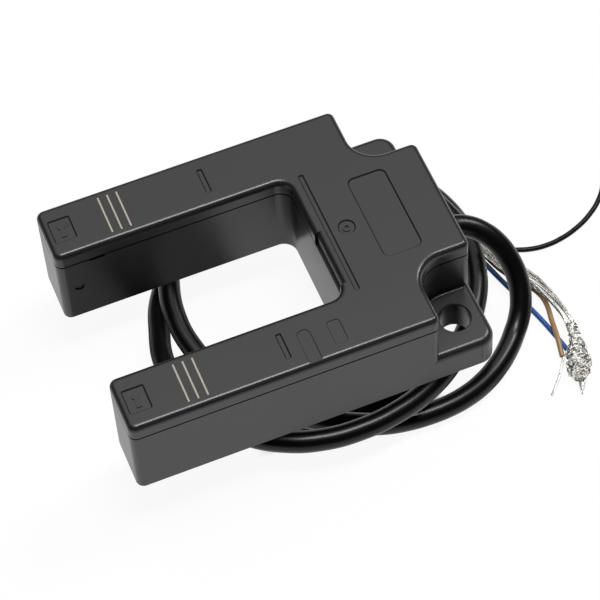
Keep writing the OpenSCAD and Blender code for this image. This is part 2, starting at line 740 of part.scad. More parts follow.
module reed_blade_rear() {
    color([0.8, 0.8, 0.82]) reed_blade(1, -0.13);
}

module sensor_leads() {
    color([0.75, 0.72, 0.7])
        for (k = [0, 1]) {
            z0 = sense_z;
            x0 = sb_x + sb_t;
            y0 = sb_y1 - wire_step * (1 + k);
            xk = x0 + wire_out + k * wire_d;
            xb = board_w / 2 - wire_d - 0.4;
            yb = board_y + board_l / 4 + 2 * k * wire_d;
            tube([[x0, y0, z0], [x0 + wire_d, y0, z0], [xk, y0 + wire_d, z0],
                [xk, y_slot - slot_r, z0], [xk - wire_d, y_slot + 1, z0],
                [xb + 3, yb - 1, z0 - 0.4], [xb + 0.8, yb, z0 - 1.4],
                [xb, yb, (z0 + board_top) / 2], [xb, yb, board_top]],
                wire_d / 2, 8, [1, 1, 1]);
        }
}

module bias_magnet() {
    color([0.3, 0.3, 0.32])
        translate([magnet_x - magnet_t, y_sense - magnet_l / 2, sense_z - magnet_l / 2])
            cube([magnet_t, magnet_l, magnet_l]);
}

module yoke_plate() {
    color([0.6, 0.6, 0.62])
        translate([magnet_x - magnet_t - yoke_t, y_sense - yoke_l / 2, sense_z - yoke_h / 2])
            cube([yoke_t, yoke_l, yoke_h]);
}

// Block with an open pocket in front for the magnet and one behind it for the yoke
module magnet_holder() {
    x1 = -x_in - wall - holder_gap;
    color([0.85, 0.83, 0.78]) difference() {
        translate([x1 - holder_t, y_sense - holder_l / 2, floor_t])
            cube([holder_t, holder_l, holder_h]);
        translate([magnet_x - magnet_t, y_sense - magnet_l / 2 - play, sense_z - magnet_l / 2])
            cube([magnet_t + 1, magnet_l + 2 * play, holder_h]);
        translate([magnet_x - magnet_t - yoke_t, y_sense - yoke_l / 2 - play, sense_z - yoke_h / 2])
            cube([yoke_t + play, yoke_l + 2 * play, holder_h]);
    }
}

// Lead from the inner end of the cable into its terminal
module lead(x, k, z, d = core_d) {
    xk = k * term_pitch;
    tube([[x, lead_start_y, z], [x, lead_start_y - 0.8, z],
        [x + (xk - x) * 0.25, lead_start_y - 2.4, z + (term_z - z) * 0.25],
        [x + (xk - x) * 0.8, term_y + 2.2, z + (term_z - z) * 0.85],
        [xk, term_y + 0.6, term_z], [xk, term_y - term_hole, term_z]], d / 2, 8);
}

module lead_brown() {
    color([0.4, 0.22, 0.1]) lead(1.6, 1.5, cable_z + 0.9);
}

module lead_black() {
    color([0.05, 0.05, 0.05]) lead(0, 0.5, cable_z - 1.7);
}

module lead_blue() {
    color([0.1, 0.25, 0.6]) lead(-1.6, -0.5, cable_z + 0.9);
}

module lead_drain() {
    color([0.75, 0.75, 0.75])
        lead(-1.9, -1.5, cable_z - 0.95, 0.9);
}

module cable_sheath() {
    color([0.04, 0.04, 0.045]) tube(route, cable_d / 2, ring_n);
}

module shield_braid() {
    color([0.72, 0.7, 0.66])
        swept(route_shield,
            [1, 1.1, 1.6, 1.8, 1.9, 2, 1.6, 1.2, 1.4, 1.8, 3, 3.4, 2.8, 1.1, 0.5],
            [1, 1, 1, 1.1, 1.1, 1.1, 1.1, 1.1, 1.1, 1.1, 1.1, 1.1, 1, 0.6, 0.4], 10);
}

module core_brown() {
    color([0.42, 0.27, 0.16]) tube(route_brown, core_d / 2, 8);
}

module core_blue() {
    color([0.12, 0.27, 0.55]) tube(route_blue, core_d / 2, 8);
}

module core_black() {
    color([0.03, 0.03, 0.03]) tube(route_black, core_d / 2, 8);
}

module bare_strands() {
    color([0.75, 0.72, 0.66]) {
        tube(strands_brown, 0.4, 8);
        tube(strands_blue, 0.4, 8);
        tube(strands_black, 0.4, 8);
    }
}

base_shell();
top_cover();
cover_seal();
gauge_marks();
housing_screws();
cable_grommet();
cable_clamp();
clamp_screws();
main_board();
board_screws();
terminal_block();
output_transistor();
suppressor_diode();
smoothing_capacitor();
resistors();
sensor_board();
reed_glass();
reed_blade_front();
reed_blade_rear();
sensor_leads();
bias_magnet();
yoke_plate();
magnet_holder();
lead_brown();
lead_blue();
lead_black();
lead_drain();
cable_sheath();
shield_braid();
core_brown();
core_blue();
core_black();
bare_strands();
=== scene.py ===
"""Fork-type magnetic switch: the finishes, the free cable and the stage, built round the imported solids."""

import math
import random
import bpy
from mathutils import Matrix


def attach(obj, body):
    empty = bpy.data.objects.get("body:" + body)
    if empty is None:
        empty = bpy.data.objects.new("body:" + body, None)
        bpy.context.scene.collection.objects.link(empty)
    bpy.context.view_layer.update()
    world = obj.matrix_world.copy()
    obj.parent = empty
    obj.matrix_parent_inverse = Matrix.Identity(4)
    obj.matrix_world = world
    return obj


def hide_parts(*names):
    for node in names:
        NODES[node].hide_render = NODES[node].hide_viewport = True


bl_info = {
    "name": "Fork switch",
    "version": (1, 0, 0),
    "blender": (4, 5, 0),
    "location": "View3D > Sidebar > Fork switch",
    "description": "Finishes, free cable and stage of a fork-type magnetic switch",
    "category": "Object",
}

import bpy
from bpy.props import FloatProperty, FloatVectorProperty, IntProperty, PointerProperty
from mathutils import Matrix, Vector

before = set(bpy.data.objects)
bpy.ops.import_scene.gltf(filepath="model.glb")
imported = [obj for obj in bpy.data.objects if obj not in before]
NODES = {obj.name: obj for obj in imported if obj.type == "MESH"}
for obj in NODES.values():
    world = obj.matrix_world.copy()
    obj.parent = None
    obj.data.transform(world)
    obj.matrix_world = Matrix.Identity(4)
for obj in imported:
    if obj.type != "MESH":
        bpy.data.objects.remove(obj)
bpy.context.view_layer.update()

MM = 0.001

# The photograph's camera: its axes, the point it looks at in millimetres and its distance from there in metres
CAMERA_RIGHT = (0.37329, 0.92688, -0.03937)
CAMERA_UP = (-0.76233, 0.33065, 0.55634)
CAMERA_BACK = (0.52868, -0.17767, 0.83002)
CAMERA_AIM = (-0.80, -33.36, 0.0)
CAMERA_DISTANCE = 0.7504
CAMERA_LENS = 166.95

# Routes of the cable and of what comes out of its stripped end, in millimetres, as the solids have them
CABLE_ROUTE = [
    (0, -6, 10.5), (0, 8.5, 10.5), (0.1, 11.5, 10.45), (1.1, 15, 9.6), (3.3, 18.4, 8), (6.8, 21.5, 5.2),
    (10.8, 23.3, 1.6), (15, 23.8, -1.8), (19.7, 22.7, -5.1), (23.3, 20.6, -7.6), (26.6, 17.7, -9),
    (30.4, 14.1, -9.2), (34.4, 9.2, -9.2), (37.7, 3.5, -9.2), (39.7, -2.2, -9.2), (40.6, -7.5, -9.2),
    (40.8, -13.2, -9.2), (40.2, -20.1, -9.2), (38.8, -26, -9.2), (36.6, -31.4, -9.1), (33.8, -36.8, -8.9),
    (30.1, -42.7, -8.6), (25.4, -48.6, -8.1), (18.6, -55, -7.4), (9.5, -60.6, -6.6), (-1, -64.5, -5.5),
    (-12, -65.5, -4.2), (-22, -63.5, -3.1), (-31.5, -59, -3.1), (-39, -51, -3.1), (-43, -40, -3.1),
    (-44.5, -28, -3.1), (-44, -16, -3.1), (-41.5, -5, -3.1), (-36, 4, -3.1), (-27.5, 10, -3.1),
    (-16, 14.5, -3.1), (-3.5, 16.8, -3.1), (8, 14.7, -3.1), (18, 9.7, -3.1), (26, 2.8, -3.1), (32.5, -4, -3.1),
    (37.5, -13, -3.1), (40.5, -23, -3.1), (41.5, -33, -3.1), (40.5, -43.5, -3.1), (37, -53, -3.3),
    (31, -61, -4), (22, -67.5, -5), (11, -72, -6), (-1, -73, -7), (-12, -70.5, -8.6), (-22, -66.5, -9.2),
    (-31, -59, -9.2), (-37, -49, -9.2), (-40, -37, -9.2), (-41, -24, -9.2), (-40.5, -11, -9.2), (-38, 0, -9.2),
    (-33.3, 9, -9.2), (-26, 14.9, -9.2), (-19, 17.6, -9.2), (-12.5, 18.9, -9.2), (-6, 20.4, -9.2),
]
SHIELD_ROUTE = [
    (-6, 20.4, -8), (-4.78, 20.68, -8), (-0.3, 21.9, -8), (3, 23.2, -8), (7, 25.2, -8), (12, 28.4, -7.8),
    (19, 31, -7.8), (26, 32.5, -8), (31, 32.7, -8.5), (35.5, 32, -8.9), (39, 30.7, -9.1), (42, 29.6, -9.2),
    (45, 28.7, -9.7), (47, 28.4, -10.6), (50, 27.2, -11.5),
]
SHIELD_HALF_WIDTH = [1.0, 1.1, 1.6, 1.8, 1.9, 2.0, 1.6, 1.2, 1.4, 1.8, 3.0, 3.4, 2.8, 0.8, 0.35]
SHIELD_HALF_HEIGHT = [1.0, 1.0, 1.0, 1.1, 1.1, 1.1, 1.1, 1.1, 1.1, 1.1, 1.1, 1.1, 1.0, 0.6, 0.4]
CORE_ROUTES = {
    "core_brown": [
        (-6, 20.4, -10.8), (-4.78, 20.68, -10.8), (-0.6, 21.7, -10.9), (4, 23.1, -10.9), (8.5, 25.2, -10.7),
        (13, 28, -10.4), (17.5, 29.8, -10.2), (21, 30, -10.1), (26, 29.1, -9.9), (32, 28.1, -9.8),
        (37.5, 27, -10.7),
    ],
    "core_blue": [
        (-5.57, 18.55, -9.6), (-4.35, 18.83, -9.6), (-0.6, 19.9, -10.9), (4, 21.3, -11.4), (9.8, 22.9, -11.4),
        (17, 25.1, -11.4), (24, 27, -11.4), (30, 28.3, -11.4), (36, 29.4, -11.4),
    ],
    "core_black": [
        (-6.43, 22.25, -9.4), (-5.21, 22.53, -9.4), (-2.9, 24.2, -10.2), (-0.9, 27.2, -11), (0.5, 30.8, -11.4),
        (1.7, 34.4, -11.4), (2.2, 38.9, -11.4), (1.8, 43, -11.4), (0.5, 47.8, -11.4), (-2.3, 53.6, -11.4),
        (-7, 59.3, -11.4), (-13, 63.5, -11.4),
    ],
}
STRAND_ROUTES = {
    "core_brown": [
        (37.5, 27, -10.7), (38.6, 26.7, -10.86), (41.5, 24.6, -11.3), (44, 22.5, -11.6), (47, 19.6, -11.7),
    ],
    "core_blue": [(36, 29.4, -11.4), (37, 29.6, -11.4), (40, 29.9, -11.6), (43, 29.2, -11.7), (45.5, 27.4, -11.7)],
    "core_black": [(-13, 63.5, -11.4), (-14.2, 64.3, -11.4), (-16.5, 65.4, -11.6), (-19, 66.2, -11.7)],
}
# Colour and specular level of each core's sleeve
CORE_LOOKS = {
    "core_brown": ((0.27, 0.16, 0.062), 0.5),
    "core_blue": ((0.008, 0.070, 0.28), 0.5),
    "core_black": ((0.002, 0.002, 0.002), 0.2),
}

# The shield's wires: how many strands they lie in, how far a strand turns on each millimetre in radians,
# how much more it turns where the wires are crumpled, and where that is, in millimetres along the line
SHIELD_STRANDS = 7
STRAND_TURN = 0.035
CRUMPLE_TURN = 0.42
CRUMPLE_START, CRUMPLE_END = 38.0, 57.0
# Points at the shield's tip that get a painted shadow, for the twist's own shadow there
SHIELD_DARK_POINTS = 12
# A bare end: millimetres for one turn of the twist, and the ring that six wires make round the seventh
TWIST_LAY = 4.2
TWIST_RING = 0.24

# Height of the moulded grain for bump, in metres
GRAIN_DEPTH = 0.00002

# Areas of the floor in its own coordinates, in metres. Each edge goes from just outside to just inside.
# The painted deep shadow under the near arm reaches SHADOW_WIDER further out beside the coiled cable.
SHADOW_EDGE = (0.0346, 0.0332)
SHADOW_X, SHADOW_Y = (0.018, 0.022), ((-0.031, -0.014), (0.024, 0.018))
SHADOW_WIDER, WIDER_Y = 0.003, (0.001, 0.006)
# The floor between the arms, and below the near hole, where it is painted darker in reflections only: painted
# shade
SLOT_X, SLOT_Y = (0.030, 0.018), ((-0.008, -0.016), (-0.066, -0.062))
HOLE_X, HOLE_Y = ((0.024, 0.027), (0.0425, 0.0405)), ((0.018, 0.022), (0.048, 0.044))
# Colour of the paper and of its painted shadow, how much white glow the paper shows, and how strongly the painted
# shade darkens it in reflections
PAPER_COLOUR, SHADOW_COLOUR = 0.9, 0.03
PAPER_GLOW = 0.93
MIRRORED_SHADE = 0.65

# The soft box in the sky, as the components of the direction in which it is seen
BOX_Z, BOX_X, BOX_Y = (0.45, 0.70), (-0.08, -0.34), (0.66, 0.40)


class SwitchHousing(bpy.types.PropertyGroup):
    """Colours and grain of the housing"""

    colour: FloatVectorProperty(
        name="Housing colour", description="Colour of the moulded housing", subtype="COLOR", size=3,
        default=(0.015, 0.0148, 0.0142), min=0, max=1,
    )
    roughness: FloatProperty(
        name="Roughness", description="Roughness of the moulded faces", default=0.31, min=0, max=1,
    )
    grain: FloatProperty(
        name="Grain size", description="Size of the moulded grain", subtype="DISTANCE", unit="LENGTH",
        default=0.00022, min=0.00005, max=0.002,
    )
    mark_colour: FloatVectorProperty(
        name="Mark colour", description="Colour of the inlaid gauge marks", subtype="COLOR", size=3,
        default=(0.36, 0.33, 0.28), min=0, max=1,
    )


class SwitchCable(bpy.types.PropertyGroup):
    """Sizes and colours of the cable and its cores"""

    sheath: FloatProperty(
        name="Sheath diameter", description="Outer diameter of the cable", unit="LENGTH", default=0.006,
        min=0.003, max=0.01,
    )
    core: FloatProperty(
        name="Core diameter", description="Outer diameter of an insulated core", unit="LENGTH", default=0.00145,
        min=0.0008, max=0.003,
    )
    wire: FloatProperty(
        name="Wire diameter", description="Diameter of one bare wire", unit="LENGTH", default=0.0002,
        min=0.00005, max=0.0005,
    )
    shield_wires: IntProperty(
        name="Shield wires", description="Wires drawn in the shield", default=88, min=8, max=96,
    )
    sheath_colour: FloatVectorProperty(
        name="Sheath colour", description="Colour of the sheath", subtype="COLOR", size=3,
        default=(0.0015, 0.0015, 0.0015), min=0, max=1,
    )


class SwitchStage(bpy.types.PropertyGroup):
    """The floor and the light"""

    floor_size: FloatProperty(
        name="Floor size", description="Side of the floor", unit="LENGTH", default=3.0, min=0.5, max=20,
    )
    sky: FloatProperty(
        name="Soft box strength", description="Light from the soft box behind the switch", default=1.22,
        min=0, max=3,
    )
    horizon: FloatProperty(
        name="Room strength", description="Light from the rest of the world", default=0.02, min=0, max=3,
    )
    strip: FloatProperty(
        name="Strip light", description="Power of the overhead strip light", unit="POWER", default=5.6,
        min=0, max=500,
    )
    side: FloatProperty(
        name="Side light", description="Power of the small light behind the cable", unit="POWER", default=3.2,
        min=0, max=500,
    )
    gloss: FloatProperty(
        name="Floor in gloss", description="How white the floor is in reflections", default=0.8, min=0, max=1,
    )


# ---------- small helpers


def deselect():
    bpy.ops.object.select_all(action="DESELECT")


def paint(piece, material):
    """Gives the whole piece one material."""
    piece.data.materials.clear()
    piece.data.materials.append(material)


def feed(tree, source, socket):
    """Links a source to a socket, or sets the socket where the source is a plain value."""
    if isinstance(source, bpy.types.NodeSocket):
        tree.links.new(source, socket)
    else:
        socket.default_value = source


def number(tree, operation, *sources, clamp=False):
    """One step of arithmetic on sockets or plain numbers."""
    node = tree.nodes.new("ShaderNodeMath")
    node.operation = operation
    node.use_clamp = clamp
    for source, socket in zip(sources, node.inputs):
        feed(tree, source, socket)
    return node.outputs[0]


def ramp(tree, source, start, end, low=0.0, high=1.0, smooth=False):
    """Goes from low to high while the source goes from start to end."""
    node = tree.nodes.new("ShaderNodeMapRange")
    node.interpolation_type = "SMOOTHSTEP" if smooth else "LINEAR"
    values = {"Value": source, "From Min": start, "From Max": end, "To Min": low, "To Max": high}
    for name, value in values.items():
        feed(tree, value, node.inputs[name])
    return node.outputs["Result"]


def area(tree, *edges):
    """1 inside all the edges and 0 outside, with soft borders. An edge is a coordinate and its border."""
    inside = None
    for source, border in edges:
        step = ramp(tree, source, *border, smooth=True)
        inside = number(tree, "MULTIPLY", inside, step) if inside else step
    return inside


def split(tree, source):
    """The three components of a vector."""
    parts = tree.nodes.new("ShaderNodeSeparateXYZ")
    tree.links.new(source, parts.inputs[0])
    return parts.outputs["X"], parts.outputs["Y"], parts.outputs["Z"]


def noise(tree, scale, detail):
    """Noise in object coordinates."""
    where = tree.nodes.new("ShaderNodeTexCoord")
    node = tree.nodes.new("ShaderNodeTexNoise")
    node.inputs["Detail"].default_value = detail
    tree.links.new(where.outputs["Object"], node.inputs["Vector"])
    feed(tree, scale, node.inputs["Scale"])
    return node.outputs["Fac"]


def new_material(name):
    material = bpy.data.materials.new(name)
    material.use_nodes = True
    nodes = material.node_tree.nodes
    nodes.clear()
    out = nodes.new("ShaderNodeOutputMaterial")
    shader = nodes.new("ShaderNodeBsdfPrincipled")
    material.node_tree.links.new(shader.outputs["BSDF"], out.inputs["Surface"])
    return material, shader


def add_group(material, group, **values):
    """Places a shared effect in a material and sets its inputs."""
    node = material.node_tree.nodes.new("ShaderNodeGroup")
    node.node_tree = group
    for name, value in values.items():
        node.inputs[name].default_value = value
    return node


def group_shell(name, inputs, outputs):
    group = bpy.data.node_groups.new(name, "ShaderNodeTree")
    for label, kind, value in inputs:
        group.interface.new_socket(name=label, in_out="INPUT", socket_type=kind).default_value = value
    for label, kind in outputs:
        group.interface.new_socket(name=label, in_out="OUTPUT", socket_type=kind)
    return group, group.nodes.new("NodeGroupInput").outputs, group.nodes.new("NodeGroupOutput").inputs


def grain_group():
    """Fine moulded grain: a height for bump and a small change of roughness and colour."""
    if "Moulded grain" in bpy.data.node_groups:
        return bpy.data.node_groups["Moulded grain"]
    group, inp, out = group_shell(
        "Moulded grain",
        [("Scale", "NodeSocketFloat", 4000.0), ("Colour", "NodeSocketColor", (0.05, 0.05, 0.05, 1)),
         ("Cloudiness", "NodeSocketFloat", 0.12), ("Roughness", "NodeSocketFloat", 0.4),
         ("Spread", "NodeSocketFloat", 0.06)],
        [("Colour", "NodeSocketColor"), ("Roughness", "NodeSocketFloat"), ("Height", "NodeSocketFloat")],
    )
    link = group.links.new
    cloud = number(group, "SUBTRACT", noise(group, 60.0, 5.0), 0.5)
    tint = group.nodes.new("ShaderNodeVectorMath")
    tint.operation = "SCALE"
    link(inp["Colour"], tint.inputs[0])
    link(number(group, "MULTIPLY_ADD", cloud, inp["Cloudiness"], 1.0), tint.inputs["Scale"])
    link(tint.outputs[0], out["Colour"])
    link(number(group, "MULTIPLY_ADD", cloud, inp["Spread"], inp["Roughness"]), out["Roughness"])
    link(noise(group, inp["Scale"], 2.0), out["Height"])
    return group


def wire_group():
    """Bright and dark stretches along tinned wires, different from wire to wire: painted glints and painted dark
    reflections in the colour.
    """
    if "Wire glints" in bpy.data.node_groups:
        return bpy.data.node_groups["Wire glints"]
    group, inp, out = group_shell(
        "Wire glints",
        [("Bright", "NodeSocketColor", (0.9, 0.88, 0.8, 1)), ("Dark", "NodeSocketColor", (0.05, 0.05, 0.045, 1)),
         ("Scale", "NodeSocketFloat", 1400.0), ("Darkness", "NodeSocketFloat", 0.5)],
        [("Colour", "NodeSocketColor")],
    )
    tone = group.nodes.new("ShaderNodeAttribute")
    tone.attribute_name = "wire_tone_and_tip_shadow"
    level = number(group, "MULTIPLY_ADD", tone.outputs["Fac"], 0.55, noise(group, inp["Scale"], 1.0))
    low = number(group, "MULTIPLY_ADD", inp["Darkness"], 0.5, 0.38)
    high = number(group, "ADD", low, 0.08)
    mix = group.nodes.new("ShaderNodeMix")
    mix.data_type = "RGBA"
    # inputs 6 and 7 and output 2 are the colours of this node
    feed(group, ramp(group, level, low, high), mix.inputs["Factor"])
    feed(group, inp["Dark"], mix.inputs[6])
    feed(group, inp["Bright"], mix.inputs[7])
    feed(group, mix.outputs[2], out["Colour"])
    return group


def moulded(name, colour, roughness, scale=4500.0, cloud=0.1, bump=0.25, specular=0.5, coat=0.0):
    """A moulded or extruded plastic with fine grain."""
    material, shader = new_material(name)
    link = material.node_tree.links.new
    grain = add_group(
        material, grain_group(), Scale=scale, Colour=(*colour, 1.0), Cloudiness=cloud, Roughness=roughness,
    )
    link(grain.outputs["Colour"], shader.inputs["Base Color"])
    link(grain.outputs["Roughness"], shader.inputs["Roughness"])
    relief = material.node_tree.nodes.new("ShaderNodeBump")
    relief.inputs["Strength"].default_value = bump
    relief.inputs["Distance"].default_value = GRAIN_DEPTH
    link(grain.outputs["Height"], relief.inputs["Height"])
    link(relief.outputs["Normal"], shader.inputs["Normal"])
    shader.inputs["Specular IOR Level"].default_value = specular
    shader.inputs["Coat Weight"].default_value = coat
    return material


def metal(name, colour, roughness, scale=2500.0):
    material = moulded(name, colour, roughness, scale, cloud=0.25, bump=0.2)
    material.node_tree.nodes["Principled BSDF"].inputs["Metallic"].default_value = 1.0
    return material


def tinned(name, bright, dark, scale, darkness):
    """Tinned copper wires: bright metal with painted dark reflections of the room between them, in the base
    colour.
    """
    material = metal(name, bright, 0.3, 1800.0)
    glints = add_group(
        material, wire_group(), Bright=(*bright, 1.0), Dark=(*dark, 1.0), Scale=scale, Darkness=darkness,
    )
    shader = material.node_tree.nodes["Principled BSDF"]
    material.node_tree.links.new(glints.outputs["Colour"], shader.inputs["Base Color"])
    return material


def lay_cord(name, route, diameter, sides):
    """One smooth round cord through the route's points."""
    data = bpy.data.curves.new(name, "CURVE")
    data.dimensions = "3D"
    data.bevel_depth = diameter / 2
    data.bevel_resolution = sides
    data.resolution_u = 10
    data.use_fill_caps = True
    spline = data.splines.new("BEZIER")
    spline.bezier_points.add(len(route) - 1)
    for point, place in zip(spline.bezier_points, route):
        point.co = Vector(place) * MM
        point.handle_left_type = point.handle_right_type = "AUTO"
    piece = bpy.data.objects.new(name, data)
    bpy.context.collection.objects.link(piece)
    return piece


def along(route, values=(), steps=12):
    """Rows at even steps on a smooth line through the route: place, direction, values there and distance run."""
    pts = [Vector(p) for p in route]
    rows = []
    for i in range(len(pts) - 1):
        a, b = pts[max(i - 1, 0)], pts[i]
        c, d = pts[i + 1], pts[min(i + 2, len(pts) - 1)]
        for k in range(steps if i < len(pts) - 2 else steps + 1):
            t = k / steps
            place = 0.5 * (
                2 * b + (c - a) * t + (2 * a - 5 * b + 4 * c - d) * t * t + (3 * b - 3 * c + d - a) * t * t * t
            )
            rows.append((place, [v[i] * (1 - t) + v[i + 1] * t for v in values]))
    made = []
    run = 0.0
    for i, (place, mixed) in enumerate(rows):
        before = rows[max(i - 1, 0)][0]
        run += (place - before).length
        ahead = rows[min(i + 1, len(rows) - 1)][0] - before
        made.append((place, ahead.normalized(), mixed, run))
    return made


def across_and_over(ahead):
    """The directions to the side of a line and over it."""
    side = ahead.cross(Vector((0, 0, 1))).normalized()
    return side, side.cross(ahead).normalized()


def unit(value):
    """The value, kept between 0 and 1."""
    return max(0.0, min(1.0, value))


def wires_to_mesh(name, lines, diameter, dark_end=0):
    """Many fine wires as one mesh, with a painted shadow over the last few points of each wire."""
    data = bpy.data.curves.new(name, "CURVE")
    data.dimensions = "3D"
    data.bevel_depth = diameter / 2
    data.bevel_resolution = 1
    data.use_fill_caps = True
    for line in lines:
        spline = data.splines.new("POLY")
        spline.points.add(len(line) - 1)
        for point, place in zip(spline.points, line):
            point.co = (*(place * MM), 1.0)
    piece = bpy.data.objects.new(name, data)
    bpy.context.collection.objects.link(piece)
    deselect()
    bpy.context.view_layer.objects.active = piece
    piece.select_set(True)
    bpy.ops.object.convert(target="MESH")
    bpy.ops.object.shade_smooth()
    piece = bpy.context.view_layer.objects.active

    # every wire gets a tone of its own, and a painted shadow over its last dark_end points
    rnd = random.Random(5)
    count = len(piece.data.vertices)
    each = count / sum(len(line) for line in lines)
    tones = []
    for line in lines:
        own, lit = rnd.random(), round((len(line) - dark_end) * each)
        tones += [own] * lit + [own - 0.9] * (round(len(line) * each) - lit)
    tone = piece.data.attributes.new("wire_tone_and_tip_shadow", "FLOAT", "POINT")
    tone.data.foreach_set("value", (tones + [0.5] * count)[:count])
    return piece


# ---------- camera and cords


class FORKSWITCH_OT_camera(bpy.types.Operator):
    """Sets the camera at the photograph's angle"""

    bl_idname = "forkswitch.camera"
    bl_label = "Camera"

    def execute(self, context):
        data = bpy.data.cameras.new("camera")
        camera = bpy.data.objects.new("camera", data)
        context.collection.objects.link(camera)
        place = Vector(CAMERA_AIM) * MM + Vector(CAMERA_BACK) * CAMERA_DISTANCE
        turned = Matrix((CAMERA_RIGHT, CAMERA_UP, CAMERA_BACK)).transposed().to_4x4()
        camera.matrix_world = Matrix.Translation(place) @ turned
        data.sensor_fit = "HORIZONTAL"
        data.sensor_width = 36.0
        data.lens = CAMERA_LENS
        data.clip_start = 0.01
        data.clip_end = 20.0
        context.scene.camera = camera
        return {"FINISHED"}


class FORKSWITCH_OT_cable(bpy.types.Operator):
    """Lays the sheath, the shield, the cores and their bare ends"""

    bl_idname = "forkswitch.cable"
    bl_label = "Cable"

    def execute(self, context):
        size = context.scene.switch_cable
        sheath = lay_cord("cable_sheath_laid", CABLE_ROUTE, size.sheath, sides=8)
        paint(sheath, moulded("sheath_black", size.sheath_colour, 0.31, 900.0, 0.05, 0.10, specular=0.32))
        # the housing's sides reflect the floor alone
        sheath.visible_glossy = False
        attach(sheath, "root")
        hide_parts("cable_sheath")

        shield = self.shield(size)
        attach(shield, "root")
        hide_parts("shield_braid")

        for name, route in CORE_ROUTES.items():
            colour, specular = CORE_LOOKS[name]
            core = lay_cord(name + "_laid", route, size.core, sides=4)
            paint(core, moulded(name + "_sleeve", colour, 0.36, 1500.0, 0.08, 0.1, specular=specular))
            ends = self.bare_end(name.replace("core", "strands"), STRAND_ROUTES[name], size)
            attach(core, "root")
            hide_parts(name)
            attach(ends, "root")
        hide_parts("bare_strands")
        return {"FINISHED"}

    def shield(self, size):
        """The shield's wires: drawn together in a few strands, then spread flat and crumpled before the tip."""
        rnd = random.Random(11)
        rows = along(SHIELD_ROUTE, [SHIELD_HALF_WIDTH, SHIELD_HALF_HEIGHT], steps=9)
        lines = []
        for k in range(size.shield_wires):
            strand = k % SHIELD_STRANDS
            angle = 2 * math.pi * strand / SHIELD_STRANDS + rnd.uniform(-0.15, 0.15)
            turn = 1 if strand % 2 else -1
            reach = rnd.uniform(0.55, 1.0) if k % 3 else 1.0
            wave, beat, rough = rnd.uniform(0, 6.28), rnd.uniform(2.2, 4.5), rnd.uniform(0.05, 0.3)
            line = []
            for place, ahead, (wide, high), run in rows:
                side, over = across_and_over(ahead)
                spread = unit((run - 37.0) / 5.0) * unit((59.5 - run) / 3.0)
                crumpled = max(0.0, min(run, CRUMPLE_END) - CRUMPLE_START)
                a = angle + turn * (STRAND_TURN * run + CRUMPLE_TURN * crumpled)
                a += spread * 0.5 * math.sin(beat * 0.5 * run + wave)
                r = reach * (1 - 0.1 * math.sin(0.6 * run + wave))
                shake = spread * rough
                across = max(wide - 0.12, 0.15) * r * math.cos(a) + shake * math.sin(beat * run + wave)
                up = max(high - 0.12, 0.12) * r * math.sin(a) + 0.5 * shake * math.cos(beat * 1.3 * run)
                line.append(place + side * across + over * max(min(up, high - 0.1), 0.1 - high))
            lines.append(line)
        piece = wires_to_mesh("shield_wires", lines, size.wire * 0.9, SHIELD_DARK_POINTS)
        paint(piece, tinned("tinned_braid", (0.80, 0.79, 0.75), (0.15, 0.15, 0.14), 2200.0, 0.40))
        return piece

    def bare_end(self, name, route, size):
        """Seven fine wires twisted together, six round one."""
        lines = []
        for k in range(7):
            r = TWIST_RING if k < 6 else 0.0
            line = []
            for place, ahead, _, run in along(route, steps=10):
                side, over = across_and_over(ahead)
                a = 2 * math.pi * (k / 6 + run / TWIST_LAY)
                line.append(place + side * (r * math.cos(a)) + over * (r * math.sin(a)))
            lines.append(line)
        piece = wires_to_mesh(name, lines, size.wire * 1.2)
        paint(piece, tinned(name + "_tinned", (0.86, 0.84, 0.80), (0.03, 0.03, 0.03), 1500.0, 0.62))
        return piece


# ---------- finishes of the solids


class FORKSWITCH_OT_housing(bpy.types.Operator):
    """Gives the base, the cover and the gauge marks their finish"""

    bl_idname = "forkswitch.housing"
    bl_label = "Housing"

    def execute(self, context):
        look = context.scene.switch_housing
        shell = moulded("housing_satin", look.colour, look.roughness, 1.0 / look.grain, 0.10, 0.35)
        paint(NODES["base_shell"], shell)
        paint(NODES["top_cover"], shell)
        paint(NODES["gauge_marks"], moulded("mark_inlay", look.mark_colour, 0.6, 2500.0, 0.2, 0.3))
        return {"FINISHED"}


